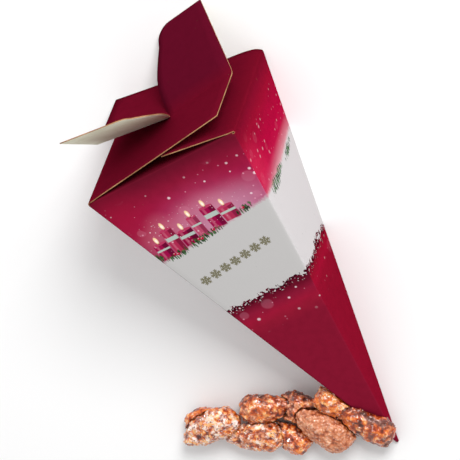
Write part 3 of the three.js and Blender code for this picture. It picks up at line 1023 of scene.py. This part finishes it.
glaze = patches(tree, given["Glaze"], (0, 0, 0), PATCH_SIZE, 2.5, 0.035)
sugar = patches(tree, given["Sugar"], (0.3, 0.1, 0.7), PATCH_SIZE * 0.75, 3.0, 0.05)
grey = patches(tree, given["Grey"], (0.9, 0.4, 0.2), PATCH_SIZE * 1.2, 2.0, 0.05)
print("nodes for knobs, crumbs and patches:", len(tree.nodes))

# %% [markdown]
# The three layers add up to one rise along the normal. Nearly all of it goes inwards, so that
# neighbours still only touch, and nothing goes below the floor. The glaze fills the crumbs up.

# %% The relief
DEEPEST = 1.45  # mm, the depth at which a crevice is darkest
OUTWARDS = 0.18  # mm by which the knobs' tops stand out
GRAIN_RISE = 0.26  # mm from the lowest to the highest grain
FILLED = 0.85  # the share of the crumbs' depth that glaze fills up

bare = add_node(tree, MATH, (glaze, -FILLED, 1.0), operation="MULTIPLY_ADD")
knob_rise = add_node(tree, MAP_RANGE, (knobs, 0.1, 0.75, 0.0, -1.0))
knob_rise = add_node(tree, MATH, (knob_rise, given["Knobs"]), operation="MULTIPLY")
crumb_rise = add_node(tree, MAP_RANGE, (crumbs, 0.1, 0.7, 0.0, -1.0))
crumb_rise = add_node(tree, MATH, (crumb_rise, given["Crumbs"]), operation="MULTIPLY")
crumb_rise = add_node(tree, MATH, (crumb_rise, bare), operation="MULTIPLY")
grain_rise = add_node(
    tree, MATH, (grain, GRAIN_RISE, -GRAIN_RISE / 2), operation="MULTIPLY_ADD"
)
grain_rise = add_node(tree, MATH, (grain_rise, bare), operation="MULTIPLY")
coarse = add_node(tree, MATH, (knob_rise, crumb_rise), operation="ADD")
rise = add_node(tree, MATH, (coarse, grain_rise), operation="ADD")
rise = add_node(tree, MATH, (rise, MM, OUTWARDS * MM), operation="MULTIPLY_ADD")
rise = add_node(tree, VECTOR_MATH, {"Vector": normal, "Scale": rise}, operation="SCALE")
moved = add_node(tree, VECTOR_MATH, (place, rise), operation="ADD")
x, y, z = add_node(tree, "ShaderNodeSeparateXYZ", (moved,)).outputs
above_floor = add_node(tree, MATH, (z, 0.0), operation="MAXIMUM")
moved = add_node(tree, "ShaderNodeCombineXYZ", (x, y, above_floor))
print("nodes for the relief:", len(tree.nodes))

# %% [markdown]
# The colour has to follow the relief, but a material cannot see how far a point was moved. So the
# tree writes the relief on the points as an attribute, from about 0 in a crevice to 1 on a knob,
# with the patches beside it. It is made lower where the surface faces down, as painted shade on the
# underside of a nut.

# %% What the material reads
height = add_node(tree, MATH, (coarse, 1 / DEEPEST, 1.0), operation="MULTIPLY_ADD")
height = add_node(tree, MATH, (given["Tone"], height), operation="ADD")
# painted shade: the relief that colours the crust is lowered where the surface faces down
up = add_node(tree, "ShaderNodeSeparateXYZ", (normal,)).outputs["Z"]
underside_shade = add_node(tree, MAP_RANGE, (up, -0.3, 0.65, -0.28, 0.0))
height = add_node(tree, MATH, (underside_shade, height), operation="ADD")

crusted = given["Geometry"]
stored = {"relief": height, "glaze": glaze, "sugar": sugar, "grey": grey, "mottle": given["Mottle"]}
for name, field in stored.items():
    crusted = add_node(
        tree,
        "GeometryNodeStoreNamedAttribute",
        {"Geometry": crusted, "Name": name, "Value": field},
        data_type="FLOAT",
        domain="POINT",
    )
crusted = add_node(tree, "GeometryNodeSetPosition", {"Geometry": crusted, "Position": moved})
crusted = add_node(tree, "GeometryNodeSetShadeSmooth", {"Geometry": crusted})
crusted = add_node(
    tree, "GeometryNodeSetMaterial", {"Geometry": crusted, "Material": given["Crust"]}
)
print("written on the points:", *stored)

# %% [markdown]
# Loose crystals of sugar stick all over the nut, most thickly on the dull patches. Each is a
# twenty-faced grain about half a millimetre across, squashed and turned at random and sunk to its
# middle. None are put right at the floor. These glint singly, which no texture does.

# %% Loose crystals
CRYSTAL_SIZE = 0.6  # mm across a loose crystal
density = add_node(tree, MATH, (sugar, 0.8, 0.2), operation="MULTIPLY_ADD")
density = add_node(tree, MATH, (density, given["Crystals"]), operation="MULTIPLY")
off_floor = add_node(tree, MAP_RANGE, (z, CRYSTAL_SIZE * MM, 1.5 * CRYSTAL_SIZE * MM))
density = add_node(tree, MATH, (density, off_floor), operation="MULTIPLY")
points = add_node(
    tree,
    "GeometryNodeDistributePointsOnFaces",
    {"Mesh": crusted, "Density": density, "Seed": 7},
)
one_grain = add_node(
    tree, "GeometryNodeMeshIcoSphere", {"Radius": CRYSTAL_SIZE / 2 * MM, "Subdivisions": 1}
)
SIZES = {"Min": (0.4, 0.4, 0.3), "Max": (1.1, 1.1, 0.8), "Seed": 11}  # shares of that size
TURNS = {"Min": (0.0, 0.0, 0.0), "Max": (6.3, 6.3, 6.3), "Seed": 13}  # radians
sizes, turns = (
    add_node(tree, "FunctionNodeRandomValue", span, data_type="FLOAT_VECTOR")
    for span in (SIZES, TURNS)
)
grains = add_node(
    tree,
    "GeometryNodeInstanceOnPoints",
    {"Points": points, "Instance": one_grain, "Rotation": turns, "Scale": sizes},
)
grains = add_node(tree, "GeometryNodeRealizeInstances", {"Geometry": grains})
grains = add_node(
    tree, "GeometryNodeSetMaterial", {"Geometry": grains, "Material": given["Crystal"]}
)
whole = add_node(tree, "GeometryNodeJoinGeometry", ([crusted, grains],))
add_node(tree, "NodeGroupOutput", {"Geometry": whole})
print("nodes in the crust tree:", len(tree.nodes))

# %% [markdown]
# The crust's material is caramelised sugar. The crevices are dark, partly as painted shade and
# partly for the sugar that browned most there, so the relief runs through a colour ramp from dark
# brown to pale tan. Glaze is a ramp of clear amber, dull sugar one of pinkish white, and the grey
# ridge one of ashen brown.

# %% The colours of caramelised sugar
crust_material, tree = new_material("caramelised_sugar_crust")
spot = add_node(tree, "ShaderNodeTexCoord").outputs["Object"]
relief, glaze, sugar, grey, mottle = (
    add_node(tree, "ShaderNodeAttribute", attribute_name=name).outputs["Fac"] for name in stored
)
browning, fine, specks, flecks = (
    add_node(tree, NOISE, {"Vector": spot, "Scale": 1 / (size * MM), "Detail": detail})
    for size, detail in ((2.4, 3.0), (0.7, 2.0), (1.5, 2.0), (0.9, 2.0))
)
shade = add_node(tree, MATH, (browning, 1.9, -0.96), operation="MULTIPLY_ADD")
shade = add_node(tree, MATH, (shade, mottle, relief), operation="MULTIPLY_ADD")
chalky = add_node(tree, MATH, (relief, 0.9, -0.65), operation="MULTIPLY_ADD")
chalky = add_node(tree, MATH, (fine, 0.9, chalky), operation="MULTIPLY_ADD")
# Each ramp's colours, with the relief from 0 to 1 at which they come. Their dark low ends are
# partly painted shade in the crevices and under the nut.
CARAMEL = (0.1, "#4c1a0a"), (0.34, "#964018"), (0.54, "#c46e40"), (0.76, "#dc8e64"), (1.0, "#f4bc98")
AMBER = (0.1, "#501404"), (0.34, "#983408"), (0.54, "#cc5814"), (0.76, "#e88230"), (1.0, "#fcbc78")
CHALK = (0.1, "#a04a1c"), (0.36, "#dc9060"), (0.52, "#fff2ec")
ASH = (0.2, "#5a281c"), (0.6, "#90665c"), (1.0, "#c4a8a0")
caramel, amber, chalk, ash = (
    add_node(tree, RAMP, (factor,), stops=stops)
    for factor, stops in ((shade, CARAMEL), (shade, AMBER), (chalky, CHALK), (shade, ASH))
)
ink = lay(tree, caramel, glaze, amber)
dull = add_node(tree, MAP_RANGE, (relief, 0.3, 0.7))
dull = add_node(tree, MATH, (sugar, dull), operation="MULTIPLY")
ink = lay(tree, ink, dull, chalk, 0.8)
ink = lay(tree, ink, grey, ash, 0.8)
print("colours in the crust's ramps:", sum(len(stops) for stops in (CARAMEL, AMBER, CHALK, ASH)))

# %% [markdown]
# Burnt specks and pale flecks are strewn over these. A clear coat gives the small sharp glints of
# melted sugar, which is smoother where it is glazed, and some light passes through the knobs,
# which softens them.

# %% Specks, flecks and gloss
specks = add_node(tree, MAP_RANGE, (specks, 0.42, 0.37))
specks = add_node(tree, MATH, (specks, mottle), operation="MULTIPLY")
ink = lay(tree, ink, specks, "#6c200c", 0.6)
flecks = add_node(tree, MAP_RANGE, (flecks, 0.54, 0.58))
on_knobs = add_node(tree, MAP_RANGE, (relief, 0.5, 0.8))
on_sugar = add_node(tree, MATH, (sugar, 0.5, 0.4), operation="MULTIPLY_ADD")
for where in (on_knobs, mottle, on_sugar):
    flecks = add_node(tree, MATH, (flecks, where), operation="MULTIPLY")
ink = lay(tree, ink, flecks, "#fff0e8")
rough = add_node(tree, MATH, (glaze, -0.35, 0.55), operation="MULTIPLY_ADD")
crust_shader = add_node(
    tree,
    "ShaderNodeBsdfPrincipled",
    {
        "Base Color": ink,
        "Roughness": rough,
        "Subsurface Weight": 0.12,
        "Subsurface Radius": (1.0, 0.4, 0.15),
        "Subsurface Scale": 1.2 * MM,
        "Specular IOR Level": 0.4,
        "Coat Weight": 0.6,
        "Coat Roughness": 0.07,
    },
)
add_node(tree, "ShaderNodeOutputMaterial", {"Surface": crust_shader})
print("nodes in the crust's material:", len(tree.nodes))

# %% [markdown]
# The loose crystals are sugar that did not melt. Their flat faces are bright and nearly smooth,
# and syrup stained some of them. One colour for all would read as plastic beads, so a noise
# mixes a clear and a stained one.

# %% Loose sugar crystals
crystal_material, tree = new_material("loose_sugar_crystals")
spot = add_node(tree, "ShaderNodeTexCoord").outputs["Object"]
STAIN = 1.5  # mm across a stain of syrup
clear = add_node(tree, NOISE, {"Vector": spot, "Scale": 1 / (STAIN * MM)})
clear = add_node(tree, MAP_RANGE, (clear, 0.42, 0.58))
ink = add_node(tree, MIX, (clear, "#d8a480", "#f4dccc"), data_type="RGBA")
crystal_shader = add_node(
    tree,
    "ShaderNodeBsdfPrincipled",
    {"Base Color": ink, "Roughness": 0.15, "Coat Weight": 0.5, "Coat Roughness": 0.05},
)
add_node(tree, "ShaderNodeOutputMaterial", {"Surface": crystal_shader})
print("nodes in the crystals' material:", len(tree.nodes))

# %% [markdown]
# Each nut has its own amounts. The matte one has fine pimples and hardly any glaze, the one under
# the cone's edge is nearly all glaze, and the one at the tip has a grey ridge.

# %% The nine almonds
FACE_SIZE = 0.24  # mm, the side of a face after remeshing
ALMONDS = {
    # seed; knobs, crumbs, both mm deep; shares of glaze, dull sugar and grey; mottle, tone;
    # crystals per mm2
    "almond_matte": (0, 0.32, 0.5, 0.08, 0.12, 0.0, 0.5, 0.0, 0.12),
    "almond_middle_front": (1, 0.75, 0.4, 0.6, 0.42, 0.0, 1.3, 0.03, 0.4),
    "almond_middle_back": (2, 0.8, 0.35, 0.65, 0.22, 0.0, 1.0, -0.06, 0.3),
    "almond_far_front": (13, 0.8, 0.35, 0.8, 0.42, 0.0, 1.5, 0.06, 0.4),
    "almond_far_back": (4, 0.7, 0.4, 0.6, 0.12, 0.0, 1.0, -0.06, 0.3),
    "almond_at_tip": (15, 0.7, 0.4, 0.6, 0.12, 0.36, 1.0, -0.18, 0.2),
    "almond_glossy": (6, 0.8, 0.3, 0.8, 0.25, 0.0, 0.9, 0.02, 0.2),
    "almond_small_front": (7, 0.7, 0.4, 0.7, 0.15, 0.0, 1.0, -0.07, 0.3),
    "almond_small_back": (8, 0.7, 0.4, 0.45, 0.2, 0.1, 1.0, -0.12, 0.3),
}


def crusted_almond(name, seed, *amounts):
    """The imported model's almond with a crust on it, as a new object."""
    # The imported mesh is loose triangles, which have to be joined before they can be rounded.
    mesh = bpy.data.objects[name].data.copy()
    shape = bmesh.new()
    shape.from_mesh(mesh)
    bmesh.ops.remove_doubles(shape, verts=shape.verts, dist=0.01 * MM)
    shape.to_mesh(mesh)
    shape.free()
    mesh.materials.clear()
    piece = bpy.data.objects.new(name + "_crust", mesh)
    scene.collection.objects.link(piece)
    rounder = piece.modifiers.new("rounded", "SUBSURF")
    rounder.levels = rounder.render_levels = 2
    even = piece.modifiers.new("even_faces", "REMESH")
    even.mode = "VOXEL"
    even.voxel_size = FACE_SIZE * MM
    crust = piece.modifiers.new("crust", "NODES")
    crust.node_group = crust_tree
    given = {"Seed": (float(seed), 0.0, 0.0), **dict(zip(AMOUNTS, amounts))}
    given.update({"Crust": crust_material, "Crystal": crystal_material})
    given["Crystals"] /= MM**2
    for item in crust_tree.interface.items_tree:
        if item.name in given:
            crust[item.identifier] = given[item.name]
    evaluated = piece.evaluated_get(bpy.context.evaluated_depsgraph_get())
    piece.data = bpy.data.meshes.new_from_object(evaluated)
    piece.data.name = name + "_crust"
    piece.modifiers.clear()
    print(name, "triangles:", sum(len(f.vertices) - 2 for f in piece.data.polygons))
    return piece


almonds = {name: crusted_almond(name, *numbers) for name, numbers in ALMONDS.items()}

# %% [markdown]
# ## Camera, floor and light
#
# The camera looks down steeply on the cone's front panel, a little from its right and from its
# lid, so that a side panel and the flaps show as well. A long lens from far away keeps the panels
# from converging much. Its roll sets the slant at which the cone lies across the view.

# %% Camera
CAMERA_AIM = (126.64, 10.27, 20)  # mm from the sharp tip of the cone
CAMERA_AZIMUTH, CAMERA_ELEVATION, CAMERA_ROLL = (math.radians(a) for a in (22.81, 64.27, -140.97))
CAMERA_DISTANCE = 1582.5  # mm
CAMERA_LENS = 282.2
SENSOR = 36
CLIP_END = 10  # m

sideways = math.cos(CAMERA_ELEVATION)
back = Vector((math.sin(CAMERA_AZIMUTH) * sideways, -math.cos(CAMERA_AZIMUTH) * sideways, 0))
back.z = math.sin(CAMERA_ELEVATION)
level = Vector((0, 0, 1)).cross(back).normalized()
upright = Matrix((level, back.cross(level), back)).transposed()
turn = (upright @ Matrix.Rotation(CAMERA_ROLL, 3, "Z")).to_quaternion()
position = (sharp_tip + Vector(CAMERA_AIM) + back * CAMERA_DISTANCE) * MM
camera = bpy.data.objects.new("camera", bpy.data.cameras.new("camera"))
camera.data.lens = CAMERA_LENS
camera.data.sensor_width = SENSOR
camera.data.clip_end = CLIP_END
camera.matrix_world = Matrix.LocRotScale(position, turn, None)
scene.collection.objects.link(camera)
scene.camera = camera
print("camera at, m:", [round(v, 3) for v in position])

# %% [markdown]
# The object lies on white paper under a large soft light, in a white room that fills the shadows.
# A second, small light is only there to glint on the melted sugar, so it adds no diffuse light.

# %% Floor and light
FLOOR = 3  # m, half its side
PAPER_WHITE = 0.92
ROOM_LIGHT = 0.66
floor_mesh = bpy.data.meshes.new("studio_floor")
corners = [(x * FLOOR, y * FLOOR, 0) for x, y in ((-1, -1), (1, -1), (1, 1), (-1, 1))]
floor_mesh.from_pydata(corners, [], [(0, 1, 2, 3)])
floor = bpy.data.objects.new("studio_floor", floor_mesh)
scene.collection.objects.link(floor)
paper, tree = new_material("white_studio_paper")
paper_shader = add_node(
    tree,
    "ShaderNodeBsdfPrincipled",
    {"Base Color": (PAPER_WHITE, PAPER_WHITE, PAPER_WHITE, 1), "Roughness": 0.9},
)
add_node(tree, "ShaderNodeOutputMaterial", {"Surface": paper_shader})
floor_mesh.materials.append(paper)

world = bpy.data.worlds.new("soft_studio")
world.use_nodes = True
world.node_tree.nodes["Background"].inputs["Color"].default_value = (1, 1, 1, 1)
world.node_tree.nodes["Background"].inputs["Strength"].default_value = ROOM_LIGHT
scene.world = world


def add_light(name, towards, distance, size, power):
    """A square area light, in a direction from the object, facing it."""
    data = bpy.data.lights.new(name, "AREA")
    data.size = size
    data.energy = power
    light = bpy.data.objects.new(name, data)
    direction = Vector(towards).normalized()
    light.location = direction * distance
    light.rotation_mode = "QUATERNION"
    light.rotation_quaternion = direction.to_track_quat("Z", "Y")
    scene.collection.objects.link(light)
    return light


add_light("key", (0.45, -0.6, 0.66), 1.5, 0.6, 17.6)
add_light("glint", (0.62, 0.02, 0.78), 1.2, 0.08, 10).visible_diffuse = False
scene.view_settings.view_transform = "Standard"
scene.view_settings.look = "None"
print("lights:", [light.name for light in bpy.data.lights])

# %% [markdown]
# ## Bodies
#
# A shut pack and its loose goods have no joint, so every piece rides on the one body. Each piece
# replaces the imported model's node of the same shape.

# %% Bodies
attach(carton, "root")
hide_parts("carton")
for name, piece in almonds.items():
    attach(piece, "root")
    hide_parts(name)
